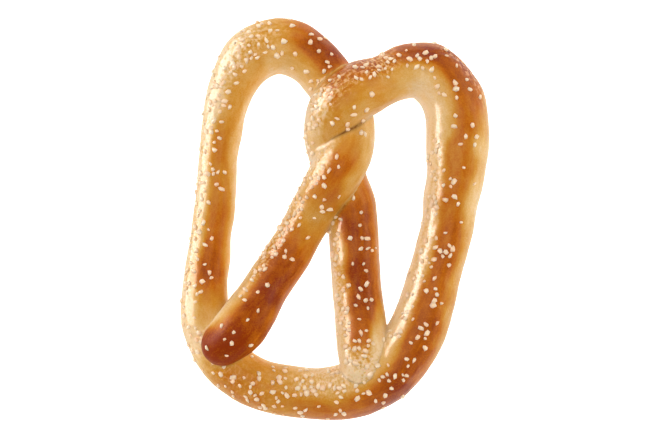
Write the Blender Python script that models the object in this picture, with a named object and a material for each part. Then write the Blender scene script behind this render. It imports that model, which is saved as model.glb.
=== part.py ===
"""A large salted soft pretzel: one rope of dough, knotted, laid flat and baked, with coarse salt.

Run with blender --background --python part.py, or from Blender's text editor.  Metres, +Z up.
The flat underside lies on z = 0, +Y points to the two round loops, +X to the pretzel's right, and
the origin is on the underside, below the middle of the pretzel's box.
"""

import math
import random

import bmesh
import bpy
import numpy as np
from mathutils import Matrix, Vector
from mathutils.bvhtree import BVHTree

# The rope's route.  Each station is x, y and z of the rope's centre and the rope's half width.
ROPE_ROUTE = [
    # left arm: from its loose end, which lies on the ring's left corner, up to the twist
    (-0.0371, -0.0551, 0.0205, 0.0092),
    (-0.0327, -0.0501, 0.0200, 0.0106),
    (-0.0271, -0.0389, 0.0165, 0.0101),
    (-0.0185, -0.0199, 0.0095, 0.0094),
    (-0.0077, 0.0071, 0.0120, 0.0096),
    # twist: over the other strand, round its right side, then under it
    (-0.0013, 0.0221, 0.0190, 0.0108),
    (0.0023, 0.0346, 0.0155, 0.0101),
    (0.0000, 0.0463, 0.0100, 0.0097),
    (-0.0073, 0.0561, 0.0083, 0.0104),
    # left loop and the long left side
    (-0.0186, 0.0668, 0.0088, 0.0111),
    (-0.0335, 0.0702, 0.0092, 0.0117),
    (-0.0457, 0.0615, 0.0089, 0.0111),
    (-0.0505, 0.0456, 0.0074, 0.0093),
    (-0.0512, 0.0221, 0.0068, 0.0083),
    (-0.0494, -0.0049, 0.0068, 0.0083),
    (-0.0487, -0.0279, 0.0076, 0.0093),
    # left corner, belly and right corner
    (-0.0447, -0.0505, 0.0080, 0.0102),
    (-0.0325, -0.0650, 0.0082, 0.0105),
    (-0.0123, -0.0712, 0.0083, 0.0104),
    (0.0107, -0.0694, 0.0088, 0.0111),
    (0.0304, -0.0591, 0.0094, 0.0119),
    (0.0415, -0.0389, 0.0095, 0.0119),
    # right side and right loop
    (0.0460, -0.0119, 0.0086, 0.0108),
    (0.0476, 0.0151, 0.0091, 0.0114),
    (0.0468, 0.0401, 0.0105, 0.0130),
    (0.0404, 0.0611, 0.0102, 0.0128),
    (0.0285, 0.0689, 0.0098, 0.0118),
    (0.0119, 0.0621, 0.0135, 0.0107),
    # twist: over the first strand, round its left side, then under it
    (-0.0020, 0.0520, 0.0192, 0.0122),
    (-0.0072, 0.0416, 0.0163, 0.0106),
    (-0.0041, 0.0291, 0.0095, 0.0102),
    # right arm, down to its end, which is pressed into the belly
    (0.0057, 0.0121, 0.0080, 0.0099),
    (0.0107, -0.0079, 0.0084, 0.0106),
    (0.0158, -0.0309, 0.0082, 0.0104),
    (0.0197, -0.0474, 0.0120, 0.0100),
    (0.0209, -0.0574, 0.0145, 0.0080),
]

# The dough's mesh
RING_SPACING = 0.003
RING_SIDES = 24
CAP_RINGS = 5
FUSE_VOXEL = 0.0016
FACES_KEPT = 0.15
TRAY_DEPTH = 0.01
TRAY_SIZE = 0.4

# Coarse salt: the larger crystals, each one a piece of its own
SALT_COUNT = 48
SALT_SEED = 11
SALT_HALF_LENGTH = (0.0010, 0.0014)
SALT_HALF_WIDTH = (0.0008, 0.0011)
SALT_HALF_HEIGHT = (0.0006, 0.0008)
SALT_JITTER = 0.16
SALT_APART = 0.006
SALT_ACROSS = 0.6
SALT_STEEPEST = 0.55
GAP = 0.0003

CRUST_COLOUR = (0.50, 0.20, 0.035, 1.0)
SALT_COLOUR = (0.90, 0.88, 0.84, 1.0)
CRUST_ROUGHNESS = 0.35
SALT_ROUGHNESS = 0.6
UP = Vector((0, 0, 1))


def clear_scene():
    """Remove every object that is already in the file."""
    for thing in list(bpy.data.objects):
        bpy.data.objects.remove(thing, do_unlink=True)


def make_material(name, colour, roughness):
    """A plain Principled material that isn't a metal."""
    material = bpy.data.materials.new(name)
    material.use_nodes = True
    shader = material.node_tree.nodes["Principled BSDF"]
    shader.inputs["Base Color"].default_value = colour
    shader.inputs["Roughness"].default_value = roughness
    shader.inputs["Metallic"].default_value = 0.0
    return material


def add_object(name, mesh, material=None):
    """Put a mesh into the scene as a named object."""
    thing = bpy.data.objects.new(name, mesh)
    bpy.context.scene.collection.objects.link(thing)
    if material:
        mesh.materials.append(material)
    return thing


def smooth_curve(stations, spacing):
    """Rows every spacing along the natural cubic spline through the stations.

    The spline's parameter is the straight distance from station to station, and its second
    derivatives at the stations come from one set of linear equations, with none at the ends.
    """
    knots = np.array(stations, dtype=float)
    legs = np.linalg.norm(np.diff(knots[:, :3], axis=0), axis=1)
    travelled = np.concatenate(([0.0], np.cumsum(legs)))
    count = len(knots)
    system = np.eye(count)
    right = np.zeros_like(knots)
    slopes = np.diff(knots, axis=0) / legs[:, None]
    for i in range(1, count - 1):
        system[i, i - 1:i + 2] = (legs[i - 1], 2 * (legs[i - 1] + legs[i]), legs[i])
        right[i] = 6 * (slopes[i] - slopes[i - 1])
    bend = np.linalg.solve(system, right)
    wanted = np.linspace(0, travelled[-1], int(travelled[-1] / spacing) + 1)
    leg = np.clip(np.searchsorted(travelled, wanted, side="right") - 1, 0, count - 2)
    after = ((wanted - travelled[leg]) / legs[leg])[:, None]
    before = 1 - after
    length = legs[leg][:, None]
    straight = before * knots[leg] + after * knots[leg + 1]
    curved = (before ** 3 - before) * bend[leg] + (after ** 3 - after) * bend[leg + 1]
    return straight + curved * length ** 2 / 6


def with_round_ends(rows):
    """Add rings to both ends of the rope whose width shrinks as a half ball's does."""
    angles = np.linspace(0, math.pi / 2, CAP_RINGS + 1)[1:-1, None]
    caps = []
    for end, beside in ((rows[0], rows[1]), (rows[-1], rows[-2])):
        outward = end[:3] - beside[:3]
        outward /= np.linalg.norm(outward)
        centres = end[:3] + outward * end[3] * np.sin(angles)
        caps.append(np.hstack((centres, end[3] * np.cos(angles))))
    return np.vstack((caps[0][::-1], rows, caps[1]))


def rope_mesh(name, rows):
    """A closed tube around the rows, each of which is a centre and a half width."""
    centres = rows[:, :3]
    forward = np.gradient(centres, axis=0)
    forward /= np.linalg.norm(forward, axis=1)[:, None]
    side = np.cross(forward, UP)
    side /= np.linalg.norm(side, axis=1)[:, None]
    above = np.cross(side, forward)
    angles = np.linspace(0, 2 * math.pi, RING_SIDES, endpoint=False)[None, :, None]
    spokes = np.cos(angles) * side[:, None] + np.sin(angles) * above[:, None]
    points = centres[:, None] + rows[:, 3, None, None] * spokes
    shape = bmesh.new()
    rings = [[shape.verts.new(point) for point in ring] for ring in points]
    loops = []
    for ring in rings:
        loops.append([shape.edges.new((a, b)) for a, b in zip(ring, ring[1:] + ring[:1])])
    for loop, following in zip(loops, loops[1:]):
        bmesh.ops.bridge_loops(shape, edges=loop + following)
    shape.faces.new(rings[0])
    shape.faces.new(rings[-1])
    bmesh.ops.recalc_face_normals(shape, faces=shape.faces)
    mesh = bpy.data.meshes.new(name)
    shape.to_mesh(mesh)
    shape.free()
    return mesh


def make_tray_cutter():
    """A slab whose top is z = 0; cutting it off leaves the flats that the pretzel rests on."""
    shape = bmesh.new()
    size = Matrix.Diagonal((TRAY_SIZE, TRAY_SIZE, 2 * TRAY_DEPTH, 1))
    place = Matrix.Translation((0, 0, -TRAY_DEPTH)) @ size
    bmesh.ops.create_cube(shape, size=1, matrix=place)
    mesh = bpy.data.meshes.new("tray_cutter")
    shape.to_mesh(mesh)
    shape.free()
    cutter = add_object("tray_cutter", mesh)
    cutter.hide_render = True
    cutter.display_type = "WIRE"
    return cutter


def make_dough(cutter, material):
    """The whole rope as one closed solid: strands that touch are fused, as they are by baking."""
    rows = with_round_ends(smooth_curve(ROPE_ROUTE, RING_SPACING))
    dough = add_object("pretzel_dough", rope_mesh("pretzel_dough", rows), material)
    fuse = dough.modifiers.new("fuse touching strands", "REMESH")
    fuse.mode = "VOXEL"
    fuse.voxel_size = FUSE_VOXEL
    fuse.use_smooth_shade = True
    fewer = dough.modifiers.new("fewer faces", "DECIMATE")
    fewer.ratio = FACES_KEPT
    flat = dough.modifiers.new("flat underside", "BOOLEAN")
    flat.operation = "DIFFERENCE"
    flat.solver = "EXACT"
    flat.object = cutter
    return dough


def surface_of(thing):
    """The object's finished surface, ready for rays and nearest points."""
    bpy.context.view_layer.update()
    return BVHTree.FromObject(thing, bpy.context.evaluated_depsgraph_get())


def crystal_mesh(name, luck):
    """A lump of salt with 20 faces: a flattened ball whose corners are moved in and out."""
    shape = bmesh.new()
    bmesh.ops.create_icosphere(shape, subdivisions=1, radius=1)
    half = [luck.uniform(*limits) for limits in (SALT_HALF_LENGTH, SALT_HALF_WIDTH, SALT_HALF_HEIGHT)]
    for corner in shape.verts:
        corner.co *= 1 + luck.uniform(-SALT_JITTER, SALT_JITTER)
        corner.co = Vector(size * value for size, value in zip(half, corner.co))
    bmesh.ops.recalc_face_normals(shape, faces=shape.faces)
    mesh = bpy.data.meshes.new(name)
    shape.to_mesh(mesh)
    shape.free()
    return mesh


def find_place(rows, crust, taken, luck):
    """A spot on the crust, seen from above, that isn't steep and is clear of the spots taken."""
    while True:
        row = rows[luck.randrange(len(rows))]
        turn = luck.uniform(0, 2 * math.pi)
        reach = row[3] * SALT_ACROSS * math.sqrt(luck.random())
        above = Vector((row[0] + reach * math.cos(turn), row[1] + reach * math.sin(turn), 1))
        spot, normal, _, _ = crust.ray_cast(above, -UP)
        if spot is None or normal.z < SALT_STEEPEST:
            continue
        if all((spot - other).length > SALT_APART for other in taken):
            return spot, normal


def clearance(mesh, place, crust):
    """How far the crystal's nearest corner is outside the crust; less than 0 is inside it."""
    nearest = math.inf
    for corner in mesh.vertices:
        point = place @ corner.co
        spot, normal, _, _ = crust.find_nearest(point)
        away = (point - spot).length
        nearest = min(nearest, away if (point - spot).dot(normal) > 0 else -away)
    return nearest


def make_salt(crust, material):
    """The salt crystals, each lying on the crust with a small gap under its lowest corner."""
    luck = random.Random(SALT_SEED)
    rows = smooth_curve(ROPE_ROUTE, RING_SPACING)
    taken = []
    for number in range(1, SALT_COUNT + 1):
        name = f"salt_grain_{number:02d}"
        mesh = crystal_mesh(name, luck)
        spot, normal = find_place(rows, crust, taken, luck)
        taken.append(spot)
        spin = Matrix.Rotation(luck.uniform(0, math.pi), 3, "Z").to_quaternion()
        turned = UP.rotation_difference(normal) @ spin
        place = Matrix.Translation(spot) @ turned.to_matrix().to_4x4()
        while clearance(mesh, place, crust) < GAP:
            place = Matrix.Translation(normal * GAP / 4) @ place
        grain = add_object(name, mesh, material)
        grain.matrix_world = place


def main():
    """Build the pretzel."""
    clear_scene()
    crust_material = make_material("crust", CRUST_COLOUR, CRUST_ROUGHNESS)
    salt_material = make_material("salt", SALT_COLOUR, SALT_ROUGHNESS)
    dough = make_dough(make_tray_cutter(), crust_material)
    make_salt(surface_of(dough), salt_material)


main()
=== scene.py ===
"""Looks of a large salted soft pretzel: a glazed, knotted rope of dough with coarse salt.

Laid out as a Blender add-on and run as a script.  Metres, +Z up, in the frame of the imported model.
"""

import math

import bpy
import numpy as np
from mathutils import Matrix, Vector


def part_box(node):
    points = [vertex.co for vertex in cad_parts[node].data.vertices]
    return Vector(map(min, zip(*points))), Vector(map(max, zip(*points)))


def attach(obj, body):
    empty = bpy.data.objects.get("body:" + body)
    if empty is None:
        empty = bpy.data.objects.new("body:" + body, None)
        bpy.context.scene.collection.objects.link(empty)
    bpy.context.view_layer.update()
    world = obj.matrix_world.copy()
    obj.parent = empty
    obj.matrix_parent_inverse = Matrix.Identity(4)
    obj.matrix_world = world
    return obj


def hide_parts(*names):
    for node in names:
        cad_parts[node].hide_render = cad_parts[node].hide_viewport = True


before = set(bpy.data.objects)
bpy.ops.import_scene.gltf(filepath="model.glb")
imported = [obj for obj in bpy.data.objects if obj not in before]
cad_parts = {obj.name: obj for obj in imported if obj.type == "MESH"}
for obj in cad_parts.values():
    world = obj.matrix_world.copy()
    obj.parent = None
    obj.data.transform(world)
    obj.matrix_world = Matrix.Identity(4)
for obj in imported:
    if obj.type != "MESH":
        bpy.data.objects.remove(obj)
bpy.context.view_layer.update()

bl_info = {
    "name": "Soft pretzel",
    "version": (1, 0, 0),
    "blender": (4, 5, 0),
    "location": "3D View > Sidebar > Pretzel",
    "description": "Builds a baked, salted soft pretzel around its packed frame",
    "category": "Object",
}

DOUGH_NODE = "pretzel_dough"
SALT_NODES = sorted(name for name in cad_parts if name.startswith("salt_grain_"))
MM = 0.001

# The rope's route, as in the design.  Each station is x, y and z of its centre and its half width.
ROPE_ROUTE = [
    # left arm: from its loose end, which lies on the ring's left corner, up to the twist
    (-0.0371, -0.0551, 0.0205, 0.0092),
    (-0.0327, -0.0501, 0.0200, 0.0106),
    (-0.0271, -0.0389, 0.0165, 0.0101),
    (-0.0185, -0.0199, 0.0095, 0.0094),
    (-0.0077, 0.0071, 0.0120, 0.0096),
    # twist: over the other strand, round its right side, then under it
    (-0.0013, 0.0221, 0.0190, 0.0108),
    (0.0023, 0.0346, 0.0155, 0.0101),
    (0.0000, 0.0463, 0.0100, 0.0097),
    (-0.0073, 0.0561, 0.0083, 0.0104),
    # left loop and the long left side
    (-0.0186, 0.0668, 0.0088, 0.0111),
    (-0.0335, 0.0702, 0.0092, 0.0117),
    (-0.0457, 0.0615, 0.0089, 0.0111),
    (-0.0505, 0.0456, 0.0074, 0.0093),
    (-0.0512, 0.0221, 0.0068, 0.0083),
    (-0.0494, -0.0049, 0.0068, 0.0083),
    (-0.0487, -0.0279, 0.0076, 0.0093),
    # left corner, belly and right corner
    (-0.0447, -0.0505, 0.0080, 0.0102),
    (-0.0325, -0.0650, 0.0082, 0.0105),
    (-0.0123, -0.0712, 0.0083, 0.0104),
    (0.0107, -0.0694, 0.0088, 0.0111),
    (0.0304, -0.0591, 0.0094, 0.0119),
    (0.0415, -0.0389, 0.0095, 0.0119),
    # right side and right loop
    (0.0460, -0.0119, 0.0086, 0.0108),
    (0.0476, 0.0151, 0.0091, 0.0114),
    (0.0468, 0.0401, 0.0105, 0.0130),
    (0.0404, 0.0611, 0.0102, 0.0128),
    (0.0285, 0.0689, 0.0098, 0.0118),
    (0.0119, 0.0621, 0.0135, 0.0107),
    # twist: over the first strand, round its left side, then under it
    (-0.0020, 0.0520, 0.0192, 0.0122),
    (-0.0072, 0.0416, 0.0163, 0.0106),
    (-0.0041, 0.0291, 0.0095, 0.0102),
    # right arm, down to its end, which is pressed into the belly
    (0.0057, 0.0121, 0.0080, 0.0099),
    (0.0107, -0.0079, 0.0084, 0.0106),
    (0.0158, -0.0309, 0.0082, 0.0104),
    (0.0197, -0.0474, 0.0120, 0.0100),
    (0.0209, -0.0574, 0.0145, 0.0080),
]

# How brown the crust is, from 0, pale, to 1, nearly burnt.  Each row is a place along the rope,
# counted in stations, then how brown the baked band on top is, where the band's middle lies across
# the rope, the band's half width, and how brown the two flanks are.  Across the rope, 1 is its left
# flank and -1 its right flank, for someone who walks along it.
CRUST_BAKE = [
    (0.0, 1.00, -0.10, 1.20, 0.85, 0.95),
    (0.6, 1.00, -0.12, 0.88, 0.20, 0.95),
    (1.0, 1.00, -0.10, 0.76, 0.02, 0.92),
    (2.0, 0.95, -0.10, 0.62, 0.02, 0.66),
    (3.0, 0.88, -0.18, 0.94, 0.16, 0.62),
    (4.0, 0.46, -0.20, 0.85, 0.10, 0.38),
    (5.0, 0.82, 0.00, 0.50, 0.10, 0.40),
    (6.0, 0.40, 0.00, 0.50, 0.22, 0.10),
    (7.0, 0.45, 0.00, 0.60, 0.35, 0.40),
    (7.7, 0.50, -0.60, 0.60, 0.20, 0.45),
    (8.2, 0.88, -0.60, 0.60, 0.10, 0.85),
    (8.6, 0.94, -0.55, 0.60, 0.10, 0.88),
    (9.3, 0.88, -0.50, 0.60, 0.12, 0.78),
    (10.0, 0.46, -0.60, 0.50, 0.22, 0.42),
    (11.0, 0.38, 0.55, 0.55, 0.20, 0.03),
    (12.0, 0.50, 0.28, 0.45, 0.08, 0.03),
    (13.0, 0.60, 0.15, 0.50, 0.12, 0.04),
    (14.0, 0.68, 0.25, 0.60, 0.15, 0.10),
    (15.0, 0.84, 0.25, 0.66, 0.08, 0.14),
    (15.6, 0.50, 0.25, 0.66, 0.12, 0.08),
    (16.2, 0.14, 0.30, 0.60, 0.12, 0.02),
    (17.0, 0.68, -0.20, 0.90, 0.50, 0.40),
    (18.0, 0.57, -0.70, 0.85, 0.34, 0.60),
    (19.0, 0.72, -1.10, 0.70, 0.01, 0.74),
    # Stations 20 to 25: the palest left flank is partly pale skin and partly a painted highlight band.
    (20.0, 0.94, -0.46, 0.62, 0.08, 0.68),
    (21.0, 0.84, -0.12, 0.56, 0.00, 0.46),
    (22.0, 0.84, -0.12, 0.54, 0.00, 0.42),
    (23.0, 0.73, -0.02, 0.48, 0.00, 0.28),
    (24.0, 0.67, -0.04, 0.48, 0.00, 0.24),
    (25.0, 0.84, -0.62, 0.52, 0.00, 0.66),
    (26.0, 0.98, -0.80, 0.60, 0.02, 0.30),
    (26.6, 0.74, -0.80, 0.56, 0.15, 0.50),
    (27.0, 0.68, -0.80, 0.44, 0.35, 0.55),
    (27.6, 0.80, -0.70, 0.46, 0.40, 0.72),
    (28.0, 0.72, -0.78, 0.38, 0.38, 0.66),
    # Stations 28.4 and 29: the pale right flank is partly pale skin and partly a painted highlight.
    (28.4, 0.50, 0.26, 0.40, 0.42, 0.14),
    (29.0, 0.40, 0.36, 0.54, 0.35, 0.03),
    (30.0, 0.72, 0.35, 0.70, 0.45, 0.10),
    (31.0, 0.84, 0.10, 0.90, 0.40, 0.62),
    # Stations 32 and 33: the palest right flank is partly pale skin and partly a painted highlight band.
    (32.0, 0.90, 0.15, 0.60, 0.55, 0.03),
    (33.0, 0.96, 0.18, 0.60, 0.55, 0.03),
    (34.0, 0.78, -0.10, 0.44, 0.00, 0.10),
    (34.6, 0.26, 0.00, 0.50, 0.00, 0.00),
    (35.0, 0.04, 0.35, 0.60, 0.00, 0.00),
]

# Where the salt lies: from and to along the rope, in stations, from and to across it, and how many.
SALT_PATCHES = [
    (0.0, 1.3, -0.8, 0.6, 7),
    (1.3, 2.5, -0.3, 0.8, 7),
    (2.4, 3.9, 0.45, 0.98, 55),
    (2.6, 4.0, -0.6, 0.3, 7),
    (3.9, 5.2, 0.3, 0.95, 40),
    (4.2, 6.2, -0.6, 0.3, 13),
    (6.8, 8.2, -0.9, 0.9, 5),
    (8.0, 10.2, -0.95, -0.3, 18),
    (8.0, 10.3, -0.2, 0.8, 22),
    (10.2, 12.2, -0.98, 0.25, 75),
    (12.0, 13.4, -0.95, 0.0, 50),
    (13.3, 15.3, -0.98, -0.4, 40),
    (13.2, 15.4, -0.3, 0.5, 11),
    (15.3, 17.2, -0.98, -0.1, 52),
    (17.0, 18.2, -0.98, 0.1, 34),
    (17.2, 18.6, 0.0, 0.95, 24),
    (18.0, 20.1, -0.98, 0.5, 56),
    (18.2, 19.6, 0.2, 0.95, 30),
    (20.0, 21.2, -0.55, 0.4, 20),
    (20.6, 22.2, 0.5, 0.98, 24),
    (21.2, 22.4, -0.5, 0.4, 18),
    (22.2, 24.2, 0.5, 0.98, 28),
    (22.2, 24.4, -0.7, 0.45, 20),
    (24.4, 25.6, -0.8, 0.6, 14),
    (25.6, 27.2, -0.98, 0.0, 24),
    (26.4, 28.4, -0.95, -0.2, 30),
    (27.2, 29.2, -0.1, 0.8, 7),
    (28.4, 30.0, -0.98, -0.4, 36),
    (30.8, 32.2, 0.1, 0.9, 10),
    (31.2, 33.8, -0.98, -0.45, 40),
    (32.0, 33.8, -0.3, 0.8, 14),
    (33.8, 35.2, -0.8, 0.95, 36),
]

# Skin that is wrinkled and blistered: place along the rope, half length of the patch, both in
# stations, its middle and half width across the rope, and how rough it is.
# The rough share also mixes in pale flakes, which are partly salt dust and blistered skin and partly a
# painted highlight
ROUGH_SKIN = [
    (27.2, 0.60, -0.60, 0.50, 1.0),
    (28.3, 0.70, -0.55, 0.50, 1.0),
    (25.3, 0.60, -0.90, 0.16, 0.7),
    (10.9, 0.90, -0.45, 0.55, 0.9),
    (12.6, 1.20, -0.70, 0.30, 0.55),
    (14.8, 1.20, -0.75, 0.25, 0.4),
    (17.2, 1.00, -0.20, 0.80, 0.2),
    (18.9, 0.80, 0.45, 0.50, 0.6),
    (3.2, 0.90, 0.70, 0.30, 0.8),
    (5.0, 0.60, 0.65, 0.30, 0.6),
    (22.6, 1.60, 0.65, 0.25, 0.5),
    (32.9, 1.30, -0.70, 0.25, 0.5),
    (34.9, 0.70, 0.10, 0.90, 1.0),
]

# Folds across the skin: a groove from one place to another, each given as stations along and how
# far across, then the groove's depth and half width.
SKIN_FOLDS = [
    ((26.75, -0.95), (26.35, 0.10), 0.50 * MM, 0.9 * MM),
    ((26.35, 0.10), (26.45, 0.80), 0.30 * MM, 0.8 * MM),
    ((34.05, 0.95), (35.20, 0.75), 0.50 * MM, 0.9 * MM),
    ((25.15, -0.98), (25.80, -0.70), 0.30 * MM, 0.7 * MM),
    ((19.20, 0.90), (19.35, 0.20), 0.20 * MM, 0.6 * MM),
    ((18.60, 0.85), (18.70, 0.25), 0.20 * MM, 0.6 * MM),
]

# Where two strands baked into each other: x, y, z, reach, and the width of the soft fillet there.
FUSED_SPOTS = [
    (-0.0085, 0.0310, 0.0150, 0.0080, 0.0060),
    (0.0205, -0.0630, 0.0150, 0.0110, 0.0030),
    (0.0285, -0.0545, 0.0100, 0.0090, 0.0050),
    (-0.0060, 0.0600, 0.0150, 0.0100, 0.0030),
]

# Where the seam between two strands gets painted shade, darker than the crust: x, y, z, reach and how
# dark.
SHADED_SEAMS = [
    (0.0002, 0.0372, 0.0180, 0.0090, 1.0),
    (-0.0040, 0.0100, 0.0150, 0.0100, 0.7),
]

# How glossy the glaze is along the rope: stations and shares of the full gloss.
GLOSS = [(0.0, 0.00), (1.3, 0.10), (2.2, 0.65), (3.3, 0.60), (4.2, 0.90), (5.0, 0.65),
         (5.8, 0.50), (7.0, 0.50), (8.0, 0.60), (10.0, 0.60), (12.0, 0.60), (17.0, 0.65),
         (19.5, 0.70), (21.0, 1.00), (25.0, 1.00), (27.0, 0.80), (29.0, 1.00), (31.0, 0.80),
         (32.0, 1.00), (34.0, 0.90), (35.0, 0.80)]

# Working grids
ROPE_STEP = 1.0 * MM
RING_SIDES = 32
CAP_RINGS = 8
STRAND_APART = 35 * MM
SEARCH_BLOCK = 4000
NEARBY_ROWS = 4
SETTLING_ROUNDS = 5
FLAT_ROUNDING = 1.2 * MM

# How the bake level changes away from the bands of CRUST_BAKE
BAND_EDGE_POWER = 6
BAND_WANDER = 0.07
LEVEL_WANDER = 0.035
LOWER_FLANK_BAKE = 0.06
LOWER_FLANK_START = 0.66
LOWER_FLANK_SLOPE = 1.6
DARK_FLANK_DELAY = 0.60
UNDERSIDE_BAKE = 0.62
TRAY_REACH = 0.8 * MM
PALE_SEAM = 0.3
SEAM_REACH = 2.2 * MM
# Width and least darkness of the painted shade in the seams between strands
SEAM_WIDTH = 0.8 * MM
PLAIN_SEAM_SHADE = 0.15

# Salt
FARTHEST_SETTLING = 1.2 * MM
CRYSTALS_APART = 1.7 * MM

# Colours besides those in the settings
# Pale pinkish flakes: partly salt dust and blistered skin, partly a painted highlight on the glazed
# flanks
FLAKE_AND_SHEEN_COLOUR = (0.90, 0.58, 0.36, 1)
# Painted shade in the creases between strands
CREASE_SHADE_COLOUR = (0.16, 0.045, 0.005, 1)
CLOUDY_SALT_COLOUR = (0.97, 0.57, 0.33, 1)
FROST_COLOUR = (0.80, 0.66, 0.56, 1)

# The lamps: name, azimuth and elevation in degrees, distance, width and height in metres, and
# whether a lamp only shows in the glaze.
SOFTBOXES = (
    ("left_gleam", 168, 9, 0.8, 0.80, 0.70, True),
    ("upper_gleam", 108, 36, 0.9, 0.9, 0.4, True),
    ("right_gleam", 8, 28, 0.9, 0.9, 0.25, True),
    ("side_fill", 160, 30, 1.0, 0.9, 0.7, False),
    ("right_fill", 30, 25, 1.0, 0.8, 0.6, False),
    ("front_fill", 275, 30, 1.0, 0.9, 0.6, False),
    ("top_fill", 90, 88, 1.2, 0.9, 0.9, False),
)
LAMP_COLOUR = (1.0, 0.94, 0.87)
GLEAM_COLOUR = (1.0, 0.93, 0.93)
CAMERA_TURN = math.radians(8.5)
CAMERA_AIM = (-0.0011, 0.0018, 0.0090)
CAMERA_DISTANCE = 0.95
VIEW_WIDTH = 0.275
SENSOR_WIDTH = 36.0


# ---------------------------------------------------------------- settings

class DoughSettings(bpy.types.PropertyGroup):
    """Sizes and colours of the baked dough."""

    skin_spacing: bpy.props.FloatProperty(
        name="Skin spacing", description="Distance between the points of the crust's mesh",
        default=0.78 * MM, min=0.4 * MM, max=3 * MM, unit="LENGTH", precision=5)
    crease_softness: bpy.props.FloatProperty(
        name="Crease softness", description="Width of the fillet where two strands touch",
        default=0.7 * MM, min=0.1 * MM, max=6 * MM, unit="LENGTH", precision=5)
    lump_height: bpy.props.FloatProperty(
        name="Lump height", description="How uneven the rolled rope is",
        default=0.30 * MM, min=0, max=2 * MM, unit="LENGTH", precision=5)
    wrinkle_height: bpy.props.FloatProperty(
        name="Wrinkle height", description="How high the wrinkles and blisters of rough skin stand",
        default=0.16 * MM, min=0, max=1 * MM, unit="LENGTH", precision=5)
    palest: bpy.props.FloatVectorProperty(
        name="Palest crust", description="Colour of the least baked crust",
        default=(0.86, 0.66, 0.40), subtype="COLOR", min=0, max=1)
    pale: bpy.props.FloatVectorProperty(
        name="Pale crust", description="Colour of lightly baked crust",
        default=(0.74, 0.45, 0.14), subtype="COLOR", min=0, max=1)
    golden: bpy.props.FloatVectorProperty(
        name="Golden crust", description="Colour of golden crust",
        default=(0.63, 0.285, 0.028), subtype="COLOR", min=0, max=1)
    brown: bpy.props.FloatVectorProperty(
        name="Brown crust", description="Colour of well baked crust",
        default=(0.52, 0.140, 0.002), subtype="COLOR", min=0, max=1)
    dark: bpy.props.FloatVectorProperty(
        name="Dark crust", description="Colour of the most baked crust",
        default=(0.26, 0.032, 0.001), subtype="COLOR", min=0, max=1)


class SaltSettings(bpy.types.PropertyGroup):
    """Sizes and colour of the salt."""

    crystal_size: bpy.props.FloatProperty(
        name="Crystal size", description="Mean length of a salt crystal",
        default=2.45 * MM, min=0.5 * MM, max=5 * MM, unit="LENGTH", precision=5)
    sunk: bpy.props.FloatProperty(
        name="Sunk share", description="How much of a crystal's height is in the crust",
        default=0.36, min=0, max=0.6, subtype="FACTOR")
    seed: bpy.props.IntProperty(
        name="Seed", description="Start of the random scatter", default=5, min=0)
    colour: bpy.props.FloatVectorProperty(
        name="Salt colour", description="Colour of the salt",
        default=(1.0, 0.80, 0.585), subtype="COLOR", min=0, max=1)


class StageSettings(bpy.types.PropertyGroup):
    """Floor, light and camera."""

    floor_colour: bpy.props.FloatVectorProperty(
        name="Floor colour", description="Colour of the plain floor",
        default=(0.90, 0.90, 0.90), subtype="COLOR", min=0, max=1)
    floor_glow: bpy.props.FloatProperty(
        name="Floor glow", description="Light that the white floor gives off by itself",
        default=0.95, min=0, max=2)
    left_gleam: bpy.props.FloatProperty(
        name="Left gleam", description="Power of the gleam on the glaze's left flanks",
        default=21.0, min=0, unit="POWER")
    upper_gleam: bpy.props.FloatProperty(
        name="Upper gleam", description="Power of the gleam on the far side of the loops",
        default=0.7, min=0, unit="POWER")
    right_gleam: bpy.props.FloatProperty(
        name="Right gleam", description="Power of the faint gleam on the glaze's right flanks",
        default=0.25, min=0, unit="POWER")
    side_fill: bpy.props.FloatProperty(
        name="Side fill", description="Power of the soft light from the left",
        default=3.9, min=0, unit="POWER")
    right_fill: bpy.props.FloatProperty(
        name="Right fill", description="Power of the soft light from the upper right",
        default=4.3, min=0, unit="POWER")
    front_fill: bpy.props.FloatProperty(
        name="Front fill", description="Power of the soft light from the belly's side",
        default=2.3, min=0, unit="POWER")
    top_fill: bpy.props.FloatProperty(
        name="Top fill", description="Power of the soft light from above",
        default=7.8, min=0, unit="POWER")
    surround: bpy.props.FloatProperty(
        name="Surround", description="Brightness of the surroundings above the horizon",
        default=0.22, min=0, max=3)
    below: bpy.props.FloatProperty(
        name="Below", description="Brightness below the horizon, as the glaze reflects it",
        default=0.90, min=0, max=3)
    overhead: bpy.props.FloatProperty(
        name="Overhead", description="Brightness straight above",
        default=0.02, min=0, max=3)


# ---------------------------------------------------------------- the rope as numbers

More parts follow.
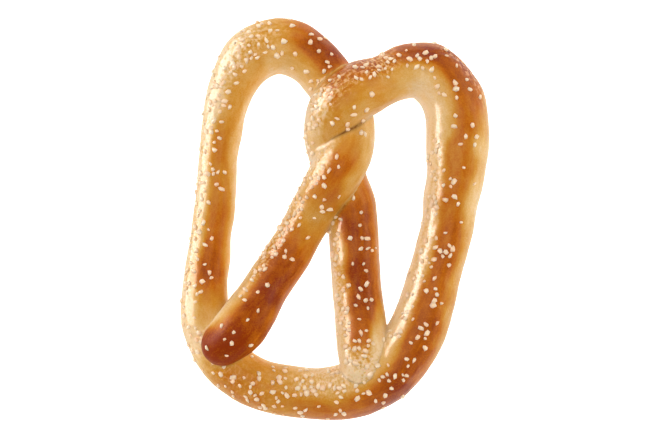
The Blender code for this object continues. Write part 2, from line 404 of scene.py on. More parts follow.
def smooth_rope(stations, spacing):
    """Rows every spacing along the natural cubic spline through the stations.

    A row is x, y, z and half width; the second result is each row's place counted in stations.
    The spline's parameter is the straight distance from station to station, and its second
    derivatives at the stations come from one set of linear equations, with none at the ends.
    """
    knots = np.array(stations, dtype=float)
    legs = np.linalg.norm(np.diff(knots[:, :3], axis=0), axis=1)
    travelled = np.concatenate(([0.0], np.cumsum(legs)))
    count = len(knots)
    inner = np.arange(1, count - 1)
    system = np.eye(count)
    system[inner, inner - 1] = legs[:-1]
    system[inner, inner] = 2 * (legs[:-1] + legs[1:])
    system[inner, inner + 1] = legs[1:]
    slopes = np.diff(knots, axis=0) / legs[:, None]
    right = np.zeros_like(knots)
    right[1:-1] = 6 * np.diff(slopes, axis=0)
    bend = np.linalg.solve(system, right)
    wanted = np.linspace(0, travelled[-1], int(travelled[-1] / spacing) + 1)
    leg = np.clip(np.searchsorted(travelled, wanted, side="right") - 1, 0, count - 2)
    after = ((wanted - travelled[leg]) / legs[leg])[:, None]
    before = 1 - after
    straight = before * knots[leg] + after * knots[leg + 1]
    curved = (before ** 3 - before) * bend[leg] + (after ** 3 - after) * bend[leg + 1]
    rows = straight + curved * legs[leg][:, None] ** 2 / 6
    return rows, leg + after[:, 0]


ROPE, ROPE_STATION = smooth_rope(ROPE_ROUTE, ROPE_STEP)


def unit(vectors):
    """The vectors with length 1."""
    return vectors / np.maximum(np.linalg.norm(vectors, axis=-1, keepdims=True), 1e-12)


def rope_directions():
    """For each row of the rope: forward, to the left of it, level, and up from it."""
    forward = unit(np.gradient(ROPE[:, :3], axis=0))
    left = unit(np.cross((0, 0, 1), forward))
    return forward, left, np.cross(forward, left)


ROPE_FORWARD, ROPE_LEFT, ROPE_ABOVE = rope_directions()


def nearest_rows(points, away_from=None):
    """The row of the rope whose skin is nearest to each point.

    With away_from, rows less than STRAND_APART along the rope from those rows don't count, which
    gives the other strand at a crossing.
    """
    found = np.zeros(len(points), dtype=int)
    order = np.arange(len(ROPE))
    for start in range(0, len(points), SEARCH_BLOCK):
        block = slice(start, start + SEARCH_BLOCK)
        gap = np.linalg.norm(points[block, None] - ROPE[None, :, :3], axis=2) - ROPE[None, :, 3]
        if away_from is not None:
            same = np.abs(order[None] - away_from[block, None]) * ROPE_STEP < STRAND_APART
            gap[same] = np.inf
        found[block] = gap.argmin(axis=1)
    return found


def beside_rope(points, rows):
    """Distance of each point outside the rope's skin, its direction out of the rope, and its row.

    The point is dropped on to the straight pieces of the centre line near its row, and the row
    comes back as a number with a fraction.
    """
    window = np.arange(-NEARBY_ROWS, NEARBY_ROWS)[None]
    first = np.clip(rows.round().astype(int)[:, None] + window, 0, len(ROPE) - 2)
    here = ROPE[first]
    leg = ROPE[first + 1] - here
    toward = points[:, None] - here[..., :3]
    share = (toward * leg[..., :3]).sum(2) / (leg[..., :3] ** 2).sum(2)
    share = np.clip(share, 0, 1)
    centre = here + leg * share[..., None]
    gap = np.linalg.norm(points[:, None] - centre[..., :3], axis=2) - centre[..., 3]
    best = gap.argmin(axis=1)
    pick = np.arange(len(points)), best
    outward = unit(points - centre[pick][:, :3])
    return gap[pick], outward, first[pick] + share[pick]


def fillet_width(points):
    """How softly two strands run into each other at each point: wider near the fused spots."""
    width = np.full(len(points), bpy.context.scene.pretzel_dough.crease_softness)
    for x, y, z, reach, fillet in FUSED_SPOTS:
        distance = np.linalg.norm(points - (x, y, z), axis=1)
        width += fillet * np.exp(-(distance / reach) ** 2)
    return width


def seam_shade(points):
    """How dark the painted shade in a seam would be at each point, from 0 to 1: a bell curve about each
    shaded seam.
    """
    dark = np.full(len(points), PLAIN_SEAM_SHADE)
    for x, y, z, reach, amount in SHADED_SEAMS:
        distance = np.linalg.norm(points - (x, y, z), axis=1)
        dark = np.maximum(dark, amount * np.exp(-(distance / reach) ** 4))
    return dark


def soft_lowest(a, b, width):
    """The lower of two distances, rounded off where they are nearly the same, and b's share.

    The two blend over a band of that width: the result is the lower one less a quarter of the
    width times the square of how deep in the band they are.
    """
    depth = np.clip(width - np.abs(a - b), 0, None) / width
    blend = 0.5 * depth ** 2
    share = np.where(a <= b, blend, 1 - blend)
    return np.minimum(a, b) - depth ** 2 * width / 4, share


def skin_field(points, rows, other_rows):
    """Distance outside the whole pretzel's smooth skin, the way out of it, and the rows.

    The skin is the soft lowest of both strands' distances, cut off softly by the tray at z = 0.
    """
    gap, outward, rows = beside_rope(points, rows)
    other_gap, other_outward, other_rows = beside_rope(points, other_rows)
    rope_gap, share = soft_lowest(gap, other_gap, fillet_width(points))
    way = outward * (1 - share[:, None]) + other_outward * share[:, None]
    below = -points[:, 2]
    tray_gap, tray_share = soft_lowest(-rope_gap, -below, np.full(len(points), FLAT_ROUNDING))
    way = way * (1 - tray_share[:, None]) + np.array((0, 0, -1.0)) * tray_share[:, None]
    return -tray_gap, unit(way), rows, other_rows, other_gap - gap


def settle_on_skin(points):
    """Move points on to the smooth skin, and say where on the rope each one is."""
    rows = nearest_rows(points)
    other_rows = nearest_rows(points, rows)
    for _ in range(SETTLING_ROUNDS):
        gap, outward, rows, other_rows, lead = skin_field(points, rows, other_rows)
        points = points - gap[:, None] * outward
    return points, outward, rows, lead


def rope_place(points, rows):
    """Each point's place in the rope's own terms.

    station is how far along, across is from 1 at the left flank to -1 at the right one, above is
    from 1 on top to -1 underneath, and run and girth are metres along and around the rope.
    """
    base = np.clip(rows.astype(int), 0, len(ROPE) - 2)
    part = (rows - base)[:, None]
    centre = ROPE[base] * (1 - part) + ROPE[base + 1] * part
    spoke = (points - centre[:, :3]) / centre[:, 3:]
    left = unit(ROPE_LEFT[base] * (1 - part) + ROPE_LEFT[base + 1] * part)
    up = unit(ROPE_ABOVE[base] * (1 - part) + ROPE_ABOVE[base + 1] * part)
    forward = np.cross(left, up)
    across = (spoke * left).sum(1)
    above = (spoke * up).sum(1)
    run = rows * ROPE_STEP + (spoke * forward).sum(1) * centre[:, 3]
    return {
        "station": np.interp(rows, np.arange(len(ROPE)), ROPE_STATION),
        "across": across,
        "above": above,
        "run": run,
        "girth": np.arctan2(across, above) * centre[:, 3],
    }


# ---------------------------------------------------------------- relief of the skin

def plane_waves(points, longest, shortest, count, seed):
    """A smooth uneven field, mostly between -1 and 1.

    It is the sum of sin(2 pi d . p / length + phase) over waves in random directions d, divided
    by the root of their number.
    """
    luck = np.random.default_rng(seed)
    lengths = np.exp(luck.uniform(math.log(shortest), math.log(longest), count))
    directions = unit(luck.normal(size=(count, 3))) * 2 * math.pi / lengths[:, None]
    phases = luck.uniform(0, 2 * math.pi, count)
    total = np.sin(points @ directions.T + phases).sum(axis=1)
    return total / math.sqrt(count)


def soft_noise(points, cell, seed):
    """Smooth noise from 0 to 1: random heights at the corners of cells, eased in between."""
    luck = np.random.default_rng(seed)
    size = 64
    heights = luck.random((size, size, size))
    place = points / cell
    corner = np.floor(place).astype(int)
    part = place - corner
    part = part * part * (3 - 2 * part)
    total = np.zeros(len(points))
    for step in np.ndindex(2, 2, 2):
        weight = np.prod(np.where(np.array(step), part, 1 - part), axis=1)
        i, j, k = ((corner + step) % size).T
        total += weight * heights[i, j, k]
    return total


def bump_between(value, middle, half):
    """1 at the middle, easing to 0 at the half width away from it and beyond."""
    near = np.clip(1 - np.abs(value - middle) / half, 0, 1)
    return near * near * (3 - 2 * near)


def rough_share(place):
    """How wrinkled the skin is at each place, from 0 to 1."""
    rough = np.zeros(len(place["station"]))
    for station, half, across, width, amount in ROUGH_SKIN:
        patch = bump_between(place["station"], station, half * 1.5)
        patch = patch * bump_between(place["across"], across, width * 1.5)
        rough = np.maximum(rough, patch * amount * (place["above"] > -0.2))
    return rough


def fold_depth(place):
    """Depth of the folds at each place: a groove whose section is a bell curve, with soft lips."""
    depth = np.zeros(len(place["station"]))
    rows = np.interp(place["station"], ROPE_STATION, np.arange(len(ROPE)))
    here = np.stack((rows * ROPE_STEP, place["girth"]), axis=1)
    for start, end, deep, half in SKIN_FOLDS:
        ends = []
        for station, across in (start, end):
            row = np.interp(station, ROPE_STATION, np.arange(len(ROPE)))
            width = ROPE[int(row), 3]
            ends.append((row * ROPE_STEP, math.asin(across) * width))
        a, b = np.array(ends)
        share = np.clip(((here - a) @ (b - a)) / ((b - a) @ (b - a)), 0, 1)
        off = np.linalg.norm(here - a - share[:, None] * (b - a), axis=1) / half
        fade = np.clip(4 * share * (1 - share) + 0.35, 0, 1)
        depth += deep * fade * (np.exp(-off ** 2) - 0.35 * np.exp(-((off - 2.2) / 0.9) ** 2))
    return depth


def skin_relief(points, place, rough):
    """Height of the lumps, wrinkles and folds over the smooth skin, in metres."""
    dough = bpy.context.scene.pretzel_dough
    lumps = plane_waves(points, 40 * MM, 12 * MM, 28, 3) * dough.lump_height
    ripples = plane_waves(points, 7 * MM, 3 * MM, 40, 4) * dough.lump_height * 0.14
    path = np.stack((place["run"] * 1.3, place["girth"] * 0.8, place["run"] * 0), axis=1)
    coarse = 1 - np.abs(2 * soft_noise(path, 1.6 * MM, 7) - 1)
    fine = soft_noise(points, 1.1 * MM, 8)
    wrinkles = (coarse - 0.6 + 0.7 * (fine - 0.5)) * rough * dough.wrinkle_height * 2
    grounded = np.clip(points[:, 2] / (3 * MM), 0, 1)
    return (lumps + ripples + wrinkles - fold_depth(place)) * grounded


def bake_level(points, place, lead):
    """How brown the crust is: the band of CRUST_BAKE across the rope over its two flanks.

    The band fades as 1 / (1 + d ** BAND_EDGE_POWER), where d is the distance from its middle in
    half widths.  Down the flanks the crust turns pale, and the darker the flank, the lower down
    this starts.  In the seam between two strands the crust is paler by a share that falls off as
    exp(-distance / SEAM_REACH).  Where it met the tray it is brown.
    """
    table = np.array(CRUST_BAKE)
    peak, middle, half, left, right = (
        np.interp(place["station"], table[:, 0], column) for column in table[:, 1:].T)
    across = np.clip(place["across"], -1, 1)
    wander = plane_waves(points, 30 * MM, 8 * MM, 24, 9)
    band = 1 / (1 + ((across - middle + BAND_WANDER * wander) / half) ** BAND_EDGE_POWER)
    share = 0.5 + 0.5 * across
    flank = left * share + right * (1 - share)
    level = flank + (peak - flank) * band
    level *= 1 - PALE_SEAM * np.exp(-np.clip(lead, 0, None) / SEAM_REACH)
    turning_in = LOWER_FLANK_START - DARK_FLANK_DELAY * flank
    lower = np.clip((turning_in - place["above"]) * LOWER_FLANK_SLOPE, 0, 1)
    level = level * (1 - lower) + LOWER_FLANK_BAKE * lower
    tray = np.clip(1 - points[:, 2] / TRAY_REACH, 0, 1)
    level = level * (1 - tray) + UNDERSIDE_BAKE * tray
    return np.clip(level + LEVEL_WANDER * wander, 0, 1)


# ---------------------------------------------------------------- meshes

def new_mesh(name, points, faces):
    """A mesh from arrays of points and of faces that all have the same number of corners."""
    mesh = bpy.data.meshes.new(name)
    corners = faces.shape[1]
    mesh.vertices.add(len(points))
    mesh.vertices.foreach_set("co", points.astype(np.float32).ravel())
    mesh.loops.add(faces.size)
    mesh.loops.foreach_set("vertex_index", faces.astype(np.int32).ravel())
    mesh.polygons.add(len(faces))
    mesh.polygons.foreach_set("loop_start", np.arange(0, faces.size, corners, dtype=np.int32))
    mesh.update(calc_edges=True)
    mesh.validate()
    return mesh


def add_piece(name, mesh):
    """Put a mesh into the scene as an object at the origin."""
    piece = bpy.data.objects.new(name, mesh)
    bpy.context.scene.collection.objects.link(piece)
    return piece


def points_of(mesh):
    """The mesh's points as an array."""
    points = np.empty(len(mesh.vertices) * 3, dtype=np.float32)
    mesh.vertices.foreach_get("co", points)
    return points.reshape(-1, 3).astype(float)


def add_attribute(mesh, name, values):
    """Keep a number or a vector for each point on the mesh, for the materials."""
    kind, key = ("FLOAT", "value") if values.ndim == 1 else ("FLOAT_VECTOR", "vector")
    layer = mesh.attributes.new(name, kind, "POINT")
    layer.data.foreach_set(key, values.astype(np.float32).ravel())


def rope_tube():
    """A circle of the rope's own half width carried along its route, with a half ball at each end."""
    bow = np.linspace(0, math.pi / 2, CAP_RINGS + 1)[1:, None]
    tail, head = ROPE[0], ROPE[-1]
    forward = ROPE_FORWARD
    tail_cap = np.hstack((tail[:3] - forward[0] * tail[3] * np.sin(bow), tail[3] * np.cos(bow)))
    head_cap = np.hstack((head[:3] + forward[-1] * head[3] * np.sin(bow), head[3] * np.cos(bow)))
    rows = np.vstack((tail_cap[::-1], ROPE, head_cap))
    repeat = np.concatenate((np.zeros(CAP_RINGS, int), np.arange(len(ROPE)),
                             np.full(CAP_RINGS, len(ROPE) - 1)))
    angles = np.linspace(0, 2 * math.pi, RING_SIDES, endpoint=False)[None, :, None]
    spokes = np.sin(angles) * ROPE_LEFT[repeat][:, None] + np.cos(angles) * ROPE_ABOVE[repeat][:, None]
    points = rows[:, None, :3] + np.maximum(rows[:, 3], 1e-5)[:, None, None] * spokes
    return points


def grid_faces(rings, sides):
    """Four-cornered faces between neighbouring rings of a closed tube, facing outwards."""
    ring, side = np.meshgrid(np.arange(rings - 1), np.arange(sides), indexing="ij")
    following = (side + 1) % sides
    corners = (ring * sides + side, ring * sides + following,
               (ring + 1) * sides + following, (ring + 1) * sides + side)
    return np.stack(corners, axis=-1).reshape(-1, 4)


def fused_skin():
    """The tube with its crossing strands fused into one closed skin of even, fine faces."""
    tube = rope_tube()
    mesh = new_mesh("rope_tube", tube.reshape(-1, 3), grid_faces(len(tube), RING_SIDES))
    rough = add_piece("rope_tube", mesh)
    fuse = rough.modifiers.new("fuse", "REMESH")
    fuse.mode = "VOXEL"
    fuse.voxel_size = bpy.context.scene.pretzel_dough.skin_spacing
    bpy.context.view_layer.update()
    evaluated = rough.evaluated_get(bpy.context.evaluated_depsgraph_get())
    skin = bpy.data.meshes.new_from_object(evaluated)
    bpy.data.objects.remove(rough)
    if len(skin.vertices) < 1000:
        raise RuntimeError("the rope's strands could not be fused into one skin")
    return skin


def finish_dough_mesh(skin):
    """Shape the fused skin and keep on it what the crust's material reads."""
    points, outward, rows, lead = settle_on_skin(points_of(skin))
    place = rope_place(points, rows)
    rough = rough_share(place)
    points = points + outward * skin_relief(points, place, rough)[:, None]
    points[:, 2] = np.maximum(points[:, 2], 0)
    skin.vertices.foreach_set("co", points.astype(np.float32).ravel())
    skin.update()
    skin.shade_smooth()
    # Painted shade in the seams between strands, darkest at the listed shaded seams
    crease = np.exp(-np.clip(lead, 0, None) / SEAM_WIDTH) * seam_shade(points)
    add_attribute(skin, "bake", bake_level(points, place, lead))
    add_attribute(skin, "crease", crease)
    add_attribute(skin, "rough", rough)
    add_attribute(skin, "gloss", np.interp(place["station"], *np.array(GLOSS).T))
    run = np.stack((place["run"], place["girth"], points[:, 2] * 0), axis=1)
    add_attribute(skin, "rope_place", run)


def spots_on_rope(station, across):
    """Points on the top side of the rope's skin, from places along and across it."""
    rows = np.interp(station, ROPE_STATION, np.arange(len(ROPE)))
    base = np.clip(rows.round().astype(int), 0, len(ROPE) - 1)
    height = np.sqrt(np.clip(1 - across ** 2, 0, 1))
    spokes = ROPE_LEFT[base] * across[:, None] + ROPE_ABOVE[base] * height[:, None]
    return ROPE[base, :3] + ROPE[base, 3:] * spokes


def salt_spots():
    """Where every crystal lies, and the way out of the crust there.

    The first ones are where the design has its crystals, and the rest are scattered by
    SALT_PATCHES, less those that would lie inside the other strand or in another crystal.
    """
    salt = bpy.context.scene.pretzel_salt
    luck = np.random.default_rng(salt.seed)
    centres = np.array([(np.array(low) + np.array(high)) / 2 for low, high in map(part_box, SALT_NODES)])
    station, across = [], []
    for first, last, right, left, count in SALT_PATCHES:
        station.append(luck.uniform(first, last, count))
        across.append(luck.uniform(right, left, count))
    scattered = spots_on_rope(np.concatenate(station), np.concatenate(across))
    points, outward, rows, lead = settle_on_skin(np.vstack((centres, scattered)))
    place = rope_place(points, rows)
    points = points + outward * skin_relief(points, place, rough_share(place))[:, None]
    moved = np.linalg.norm(points[len(centres):] - scattered, axis=1)
    keep = np.concatenate((np.ones(len(centres), bool), moved < FARTHEST_SETTLING))
    distance = np.linalg.norm(points[:, None] - points[None], axis=2)
    earlier = np.tri(len(points), k=-1, dtype=bool)
    clash = (distance < CRYSTALS_APART) & earlier & keep[None]
    keep &= ~clash.any(axis=1)
    keep[:len(centres)] = True
    return points[keep], outward[keep]


def crystal_shape():
    """A lump of 12 points and 20 faces: an icosahedron with its points 1 from the middle.

    The points are (0, +-1, +-w), (+-1, +-w, 0) and (+-w, 0, +-1) brought to length 1, where w is
    the golden ratio.  A face joins every three points that lie next to each other.
    """
    wide = (1 + math.sqrt(5)) / 2
    near, far = np.meshgrid((-1, 1), (-wide, wide), indexing="ij")
    flat = np.stack((np.zeros(4), near.ravel(), far.ravel()), axis=1)
    turned = np.stack((flat, np.roll(flat, -1, axis=1), np.roll(flat, 1, axis=1)), axis=1)
    points = unit(turned.reshape(-1, 3))
    close = np.linalg.norm(points[:, None] - points[None], axis=2) < 1.2
    faces = np.argwhere(close[:, :, None] & close[:, None, :] & close[None, :, :])
    faces = faces[(faces[:, 0] < faces[:, 1]) & (faces[:, 1] < faces[:, 2])]
    first, second, third = np.moveaxis(points[faces], 1, 0)
    inward = (np.cross(second - first, third - first) * first).sum(axis=1) < 0
    faces[inward] = faces[inward][:, [0, 2, 1]]
    return points, faces


def salt_mesh(spots, outward):
    """All crystals as one mesh: the lump, made uneven, long, wide and flat, turned and set down."""
    salt = bpy.context.scene.pretzel_salt
    luck = np.random.default_rng(salt.seed + 1)
    shape, faces = crystal_shape()
    count = len(spots)
    length = salt.crystal_size / 2 * luck.uniform(0.72, 1.28, count)
    size = np.stack((length, length * luck.uniform(0.55, 0.90, count),
                     length * luck.uniform(0.45, 0.65, count)), axis=1)
    lumps = shape[None] * luck.uniform(0.66, 1.28, (count, len(shape), 1))
    lumps = lumps * size[:, None]
    turn = luck.uniform(0, 2 * math.pi, count)
    tilt = luck.normal(0, 0.25, (count, 3))
    up = unit(outward + tilt)
    first = unit(np.cross(up, (0.31, 0.12, 0.94)))
    second = np.cross(up, first)
    ahead = first * np.cos(turn)[:, None] + second * np.sin(turn)[:, None]
    beside = np.cross(up, ahead)
    axes = np.stack((ahead, beside, up), axis=1)
    lift = size[:, 2] * (1 - 2 * salt.sunk)
    points = lumps @ axes + (spots + outward * lift[:, None])[:, None]
    all_faces = faces[None] + np.arange(count)[:, None, None] * len(shape)
    mesh = new_mesh("coarse_salt", points.reshape(-1, 3), all_faces.reshape(-1, 3))
    add_attribute(mesh, "shade", np.repeat(luck.random(count), len(shape)))
    return mesh


# ---------------------------------------------------------------- materials

def node(tree, kind, **values):
    """A new node, with some of its properties set."""
    made = tree.nodes.new(kind)
    for key, value in values.items():
        setattr(made, key, value)
    return made


def feed(tree, target, source):
    """Join a source to an input: an output socket by a link, and anything else as its value."""
    if isinstance(source, bpy.types.NodeSocket):
        tree.links.new(source, target)
    else:
        target.default_value = source


def math_node(tree, operation, first, second=0.0, clamp=False):
    """The result of one sum on two sources."""
    made = node(tree, "ShaderNodeMath", operation=operation, use_clamp=clamp)
    feed(tree, made.inputs[0], first)
    feed(tree, made.inputs[1], second)
    return made.outputs[0]


def map_range(tree, value, from_low, from_high, to_low, to_high):
    """The value moved from one range to another and kept inside it."""
    made = node(tree, "ShaderNodeMapRange")
    for index, source in enumerate((value, from_low, from_high, to_low, to_high)):
        feed(tree, made.inputs[index], source)
    return made.outputs[0]


def mix_colour(tree, factor, first, second, blend="MIX"):
    """Two colours mixed by a factor."""
    made = node(tree, "ShaderNodeMix", data_type="RGBA", blend_type=blend)
    feed(tree, made.inputs["Factor"], factor)
    feed(tree, made.inputs[6], first)
    feed(tree, made.inputs[7], second)
    return made.outputs[2]


def attribute(tree, name):
    """The number kept on the mesh under that name."""
    return node(tree, "ShaderNodeAttribute", attribute_name=name).outputs["Fac"]


def speckle_group():
    """Node group: noise of one size in metres, from 0 to 1, made harder or softer by a contrast."""
    group = bpy.data.node_groups.new("speckle", "ShaderNodeTree")
    made = group.interface.new_socket
    made(name="Vector", in_out="INPUT", socket_type="NodeSocketVector")
    made(name="Grain", in_out="INPUT", socket_type="NodeSocketFloat").default_value = 0.001
    made(name="Detail", in_out="INPUT", socket_type="NodeSocketFloat").default_value = 2.0
    made(name="Contrast", in_out="INPUT", socket_type="NodeSocketFloat").default_value = 1.0
    made(name="Fac", in_out="OUTPUT", socket_type="NodeSocketFloat")
    start = group.nodes.new("NodeGroupInput")
    end = group.nodes.new("NodeGroupOutput")
    noise = node(group, "ShaderNodeTexNoise")
    scale = math_node(group, "DIVIDE", 1.0, start.outputs["Grain"])
    feed(group, noise.inputs["Vector"], start.outputs["Vector"])
    feed(group, noise.inputs["Scale"], scale)
    feed(group, noise.inputs["Detail"], start.outputs["Detail"])
    centred = math_node(group, "SUBTRACT", noise.outputs["Fac"], 0.5)
    harder = math_node(group, "MULTIPLY", centred, start.outputs["Contrast"])
    result = math_node(group, "ADD", harder, 0.5, clamp=True)
    feed(group, end.inputs["Fac"], result)
    return group


def speckle(tree, vector, grain, detail=2.0, contrast=1.0):
    """The speckle group placed in a material with its own values."""
    group = bpy.data.node_groups.get("speckle") or speckle_group()
    made = node(tree, "ShaderNodeGroup", node_tree=group)
    feed(tree, made.inputs["Vector"], vector)
    made.inputs["Grain"].default_value = grain
    made.inputs["Detail"].default_value = detail
    made.inputs["Contrast"].default_value = contrast
    return made.outputs["Fac"]


def stretched(tree, vector, scale):
    """Coordinates scaled by a different amount each way, so that a pattern on them is drawn out."""
    made = node(tree, "ShaderNodeMapping")
    feed(tree, made.inputs["Vector"], vector)
    made.inputs["Scale"].default_value = scale
    return made.outputs["Vector"]


def new_material(name):
    """An empty material with its tree and its Principled shader."""
    material = bpy.data.materials.new(name)
    material.use_nodes = True
    tree = material.node_tree
    return material, tree, tree.nodes["Principled BSDF"]


def bump_up(tree, shader, height, distance, strength):
    """Raise the shader's surface where the height is 1, by the distance, as seen in its shading."""
    bump = node(tree, "ShaderNodeBump")
    bump.inputs["Strength"].default_value = strength
    bump.inputs["Distance"].default_value = distance
    feed(tree, bump.inputs["Height"], height)
    feed(tree, shader.inputs["Normal"], bump.outputs["Normal"])


def crust_colour(tree, level):
    """The crust's colour for a bake level: palest, pale, golden, brown, dark."""
    dough = bpy.context.scene.pretzel_dough
    ramp = node(tree, "ShaderNodeValToRGB")
    stops = ((0.0, dough.palest), (0.25, dough.pale), (0.5, dough.golden), (0.75, dough.brown),
             (1.0, dough.dark))
    elements = ramp.color_ramp.elements
    while len(elements) < len(stops):
        elements.new(0.5)
    for element, (position, colour) in zip(elements, stops):
        element.position = position
        element.color = (*colour, 1)
    feed(tree, ramp.inputs["Fac"], level)
    return ramp.outputs["Color"]


def crust_material():
    """Glazed baked crust: bake level with mottling, painted crease shade, flakes partly a painted
    highlight, and fine wrinkles in the glaze.
    """
    material, tree, shader = new_material("baked_crust")
    place = node(tree, "ShaderNodeTexCoord").outputs["Object"]
    rope_coordinates = node(tree, "ShaderNodeAttribute", attribute_name="rope_place").outputs["Vector"]
    along = stretched(tree, rope_coordinates, (0.4, 1.0, 1.0))
    across = stretched(tree, rope_coordinates, (1.0, 0.7, 1.0))
    rough = attribute(tree, "rough")

    blotches = speckle(tree, place, 8 * MM, 3, 1.5)
    mottle = speckle(tree, along, 1.9 * MM, 4, 2.0)
    freckles = speckle(tree, place, 0.6 * MM, 2, 2.4)
    crackle = speckle(tree, across, 1.2 * MM, 3, 2.6)
    level = attribute(tree, "bake")
    for pattern, swing in ((blotches, 0.08), (mottle, 0.07), (freckles, 0.06)):
        level = math_node(tree, "ADD", level, map_range(tree, pattern, 0, 1, -swing, swing))
    cracks = math_node(tree, "MULTIPLY", rough, map_range(tree, crackle, 0.2, 0.8, 0.22, -0.40))
    level = math_node(tree, "ADD", level, cracks, clamp=True)
    colour = crust_colour(tree, level)
    # Pale pinkish flakes in rough skin: partly salt dust and blisters, partly a painted highlight
    flakes_and_sheen = math_node(tree, "MULTIPLY", rough, map_range(tree, crackle, 0.55, 0.85, 0, 0.9))
    colour = mix_colour(tree, flakes_and_sheen, colour, FLAKE_AND_SHEEN_COLOUR)
    # Painted shade in the creases between strands; the same mask also makes the glaze matt there and
    # takes its coat away
    crease = attribute(tree, "crease")
    colour = mix_colour(tree, map_range(tree, crease, 0.05, 0.6, 0, 0.95), colour, CREASE_SHADE_COLOUR)
    feed(tree, shader.inputs["Base Color"], colour)

    matt = math_node(tree, "MULTIPLY", crease, 0.5)
    roughness = math_node(tree, "ADD", map_range(tree, mottle, 0, 1, 0.36, 0.55), matt, clamp=True)
    feed(tree, shader.inputs["Roughness"], roughness)
    shader.inputs["Specular IOR Level"].default_value = 0.06
    glaze = speckle(tree, along, 2.6 * MM, 3, 2.5)
    coat = math_node(tree, "MULTIPLY", attribute(tree, "gloss"), map_range(tree, glaze, 0, 1, 0.6, 1.0))
    coat = math_node(tree, "MULTIPLY", coat, map_range(tree, crease, 0.05, 0.5, 1, 0))
    feed(tree, shader.inputs["Coat Weight"], coat)
    shader.inputs["Coat Roughness"].default_value = 0.21
    shader.inputs["Coat IOR"].default_value = 1.6
    shader.inputs["Subsurface Weight"].default_value = 0.10
    shader.inputs["Subsurface Radius"].default_value = (1.0, 0.45, 0.15)
    shader.inputs["Subsurface Scale"].default_value = 1.0 * MM

    wrinkles = speckle(tree, along, 1.6 * MM, 3, 1.0)
    pores = speckle(tree, place, 0.55 * MM, 2, 1.0)
    fine = math_node(tree, "MULTIPLY", wrinkles, 0.15)
    fine = math_node(tree, "ADD", fine, math_node(tree, "MULTIPLY", pores, 0.06))
    coarse = math_node(tree, "MULTIPLY", crackle, math_node(tree, "MULTIPLY", rough, 0.42))
    bump_up(tree, shader, math_node(tree, "ADD", fine, coarse), 1 * MM, 1.0)
    return material


def salt_material():
    """Coarse salt: white, cloudy crystals with frosted faces."""
    material, tree, shader = new_material("coarse_salt")
    place = node(tree, "ShaderNodeTexCoord").outputs["Object"]
    colour = (*bpy.context.scene.pretzel_salt.colour, 1)
    shade = map_range(tree, attribute(tree, "shade"), 0, 1, 0, 0.55)
    cloudy = mix_colour(tree, shade, colour, CLOUDY_SALT_COLOUR)
    frost = speckle(tree, place, 0.4 * MM, 3, 1.4)
    frosted = mix_colour(tree, map_range(tree, frost, 0, 1, 0, 0.15), cloudy, FROST_COLOUR)
    feed(tree, shader.inputs["Base Color"], frosted)
    feed(tree, shader.inputs["Roughness"], map_range(tree, frost, 0, 1, 0.25, 0.55))
    shader.inputs["Subsurface Weight"].default_value = 0.5
    shader.inputs["Subsurface Radius"].default_value = (1.0, 0.9, 0.8)
    shader.inputs["Subsurface Scale"].default_value = 1.0 * MM
    bump_up(tree, shader, frost, 0.15 * MM, 0.5)
    return material


def floor_material():
    """A plain matt white floor that glows a little, like a light table."""
    material, tree, shader = new_material("plain_floor")
    stage = bpy.context.scene.pretzel_stage
    shader.inputs["Base Color"].default_value = (*stage.floor_colour, 1)
    shader.inputs["Emission Color"].default_value = (1, 1, 1, 1)
    shader.inputs["Emission Strength"].default_value = stage.floor_glow
    shader.inputs["Roughness"].default_value = 0.9
    shader.inputs["Specular IOR Level"].default_value = 0.1
    return material


# ---------------------------------------------------------------- operators

class PRETZEL_OT_make_dough(bpy.types.Operator):
    """Make the knotted rope of dough with its glazed crust"""

    bl_idname = "pretzel.make_dough"
    bl_label = "Make dough"

    def execute(self, context):
        skin = fused_skin()
        skin.name = "soft_pretzel_dough"
        finish_dough_mesh(skin)
        skin.materials.clear()
        skin.materials.append(crust_material())
        dough = add_piece("soft_pretzel_dough", skin)
        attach(dough, "root")
        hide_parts(DOUGH_NODE)
        return {"FINISHED"}


class PRETZEL_OT_scatter_salt(bpy.types.Operator):
    """Scatter coarse salt crystals over the crust"""

    bl_idname = "pretzel.scatter_salt"
    bl_label = "Scatter salt"

    def execute(self, context):
        mesh = salt_mesh(*salt_spots())
        mesh.materials.append(salt_material())
        salt = add_piece("coarse_salt", mesh)
        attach(salt, "root")
        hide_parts(*SALT_NODES)
        return {"FINISHED"}


def softbox(name, azimuth, elevation, distance, width, height, power, gleams):
    """A rectangular lamp that faces the pretzel; azimuth is counted from +X towards +Y.

    It either shows in the glaze's reflections only, or lights the dough without showing in them.
    """
    lamp = bpy.data.lights.new(name, "AREA")
    lamp.shape = "RECTANGLE"
    lamp.size = width
    lamp.size_y = height
    lamp.energy = power
    lamp.color = GLEAM_COLOUR if gleams else LAMP_COLOUR
    turn, rise = math.radians(azimuth), math.radians(elevation)
    back = Vector((math.cos(turn) * math.cos(rise), math.sin(turn) * math.cos(rise), math.sin(rise)))
    thing = bpy.data.objects.new(name, lamp)
    thing.location = back * distance
    thing.rotation_mode = "QUATERNION"
    thing.rotation_quaternion = back.to_track_quat("Z", "Y")
    thing.visible_glossy = gleams
    thing.visible_diffuse = not gleams
    bpy.context.scene.collection.objects.link(thing)


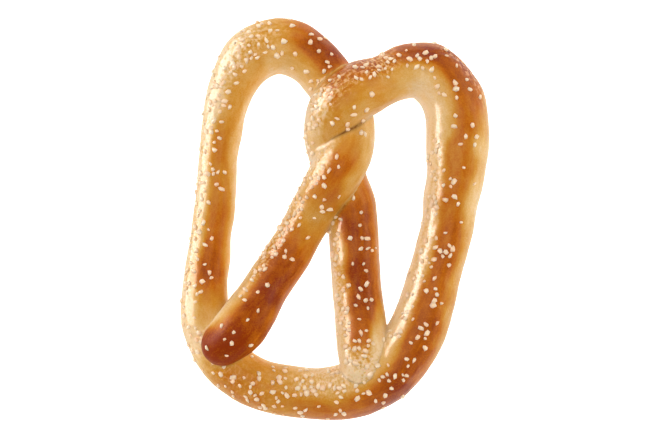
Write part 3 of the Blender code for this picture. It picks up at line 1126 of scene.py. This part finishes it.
def make_surroundings(stage):
    """White surroundings: dim above the horizon, dimmer overhead, and bright below it.

    The floor is hidden from the glaze, so below the horizon the glaze reflects these instead.
    """
    world = bpy.data.worlds.new("studio")
    bpy.context.scene.world = world
    world.use_nodes = True
    tree = world.node_tree
    direction = node(tree, "ShaderNodeTexCoord").outputs["Generated"]
    parts = node(tree, "ShaderNodeSeparateXYZ")
    feed(tree, parts.inputs[0], direction)
    rise = map_range(tree, parts.outputs["Z"], 0.5, 0.85, stage.surround, stage.overhead)
    below = map_range(tree, parts.outputs["Z"], -0.05, 0.02, stage.below - stage.surround, 0)
    rise = math_node(tree, "ADD", rise, below)
    background = tree.nodes["Background"]
    background.inputs["Color"].default_value = (1.0, 0.985, 0.97, 1)
    feed(tree, background.inputs["Strength"], rise)


def make_camera():
    """A camera that looks straight down, turned about its line of sight."""
    lens = bpy.data.cameras.new("camera")
    lens.sensor_width = SENSOR_WIDTH
    lens.lens = SENSOR_WIDTH * CAMERA_DISTANCE / VIEW_WIDTH
    lens.clip_start = 0.01
    lens.clip_end = 10
    camera = bpy.data.objects.new("camera", lens)
    camera.location = Vector(CAMERA_AIM) + Vector((0, 0, CAMERA_DISTANCE))
    camera.rotation_euler = (0, 0, CAMERA_TURN)
    bpy.context.scene.collection.objects.link(camera)
    bpy.context.scene.camera = camera


class PRETZEL_OT_set_stage(bpy.types.Operator):
    """Set up the floor, the lights and the camera"""

    bl_idname = "pretzel.set_stage"
    bl_label = "Set stage"

    def execute(self, context):
        stage = context.scene.pretzel_stage
        half = 3.0
        corners = np.array(((-half, -half, 0), (half, -half, 0), (half, half, 0), (-half, half, 0)))
        corners[:, 2] = -0.1 * MM
        mesh = new_mesh("floor", corners, np.array([[0, 1, 2, 3]]))
        mesh.materials.append(floor_material())
        floor = add_piece("floor", mesh)
        floor.visible_glossy = False
        for name, *place, gleams in SOFTBOXES:
            softbox(name, *place, getattr(stage, name), gleams)
        make_surroundings(stage)
        make_camera()
        context.scene.view_settings.view_transform = "Standard"
        return {"FINISHED"}


class PRETZEL_PT_panel(bpy.types.Panel):
    """Sidebar panel with the pretzel's settings and steps"""

    bl_label = "Soft pretzel"
    bl_idname = "PRETZEL_PT_panel"
    bl_space_type = "VIEW_3D"
    bl_region_type = "UI"
    bl_category = "Pretzel"

    def draw(self, context):
        scene = context.scene
        steps = (
            (scene.pretzel_dough, PRETZEL_OT_make_dough),
            (scene.pretzel_salt, PRETZEL_OT_scatter_salt),
            (scene.pretzel_stage, PRETZEL_OT_set_stage),
        )
        for settings, step in steps:
            box = self.layout.box()
            for name in settings.__annotations__:
                box.prop(settings, name)
            box.operator(step.bl_idname)


CLASSES = (
    DoughSettings,
    SaltSettings,
    StageSettings,
    PRETZEL_OT_make_dough,
    PRETZEL_OT_scatter_salt,
    PRETZEL_OT_set_stage,
    PRETZEL_PT_panel,
)


def register():
    """Add the settings, steps and panel to Blender."""
    for made in CLASSES:
        bpy.utils.register_class(made)
    bpy.types.Scene.pretzel_dough = bpy.props.PointerProperty(type=DoughSettings)
    bpy.types.Scene.pretzel_salt = bpy.props.PointerProperty(type=SaltSettings)
    bpy.types.Scene.pretzel_stage = bpy.props.PointerProperty(type=StageSettings)


def unregister():
    """Take them out again."""
    del bpy.types.Scene.pretzel_stage
    del bpy.types.Scene.pretzel_salt
    del bpy.types.Scene.pretzel_dough
    for made in reversed(CLASSES):
        bpy.utils.unregister_class(made)


def main():
    """Build the whole pretzel and its stage."""
    register()
    bpy.ops.pretzel.make_dough()
    bpy.ops.pretzel.scatter_salt()
    bpy.ops.pretzel.set_stage()


if __name__ == "__main__":
    main()
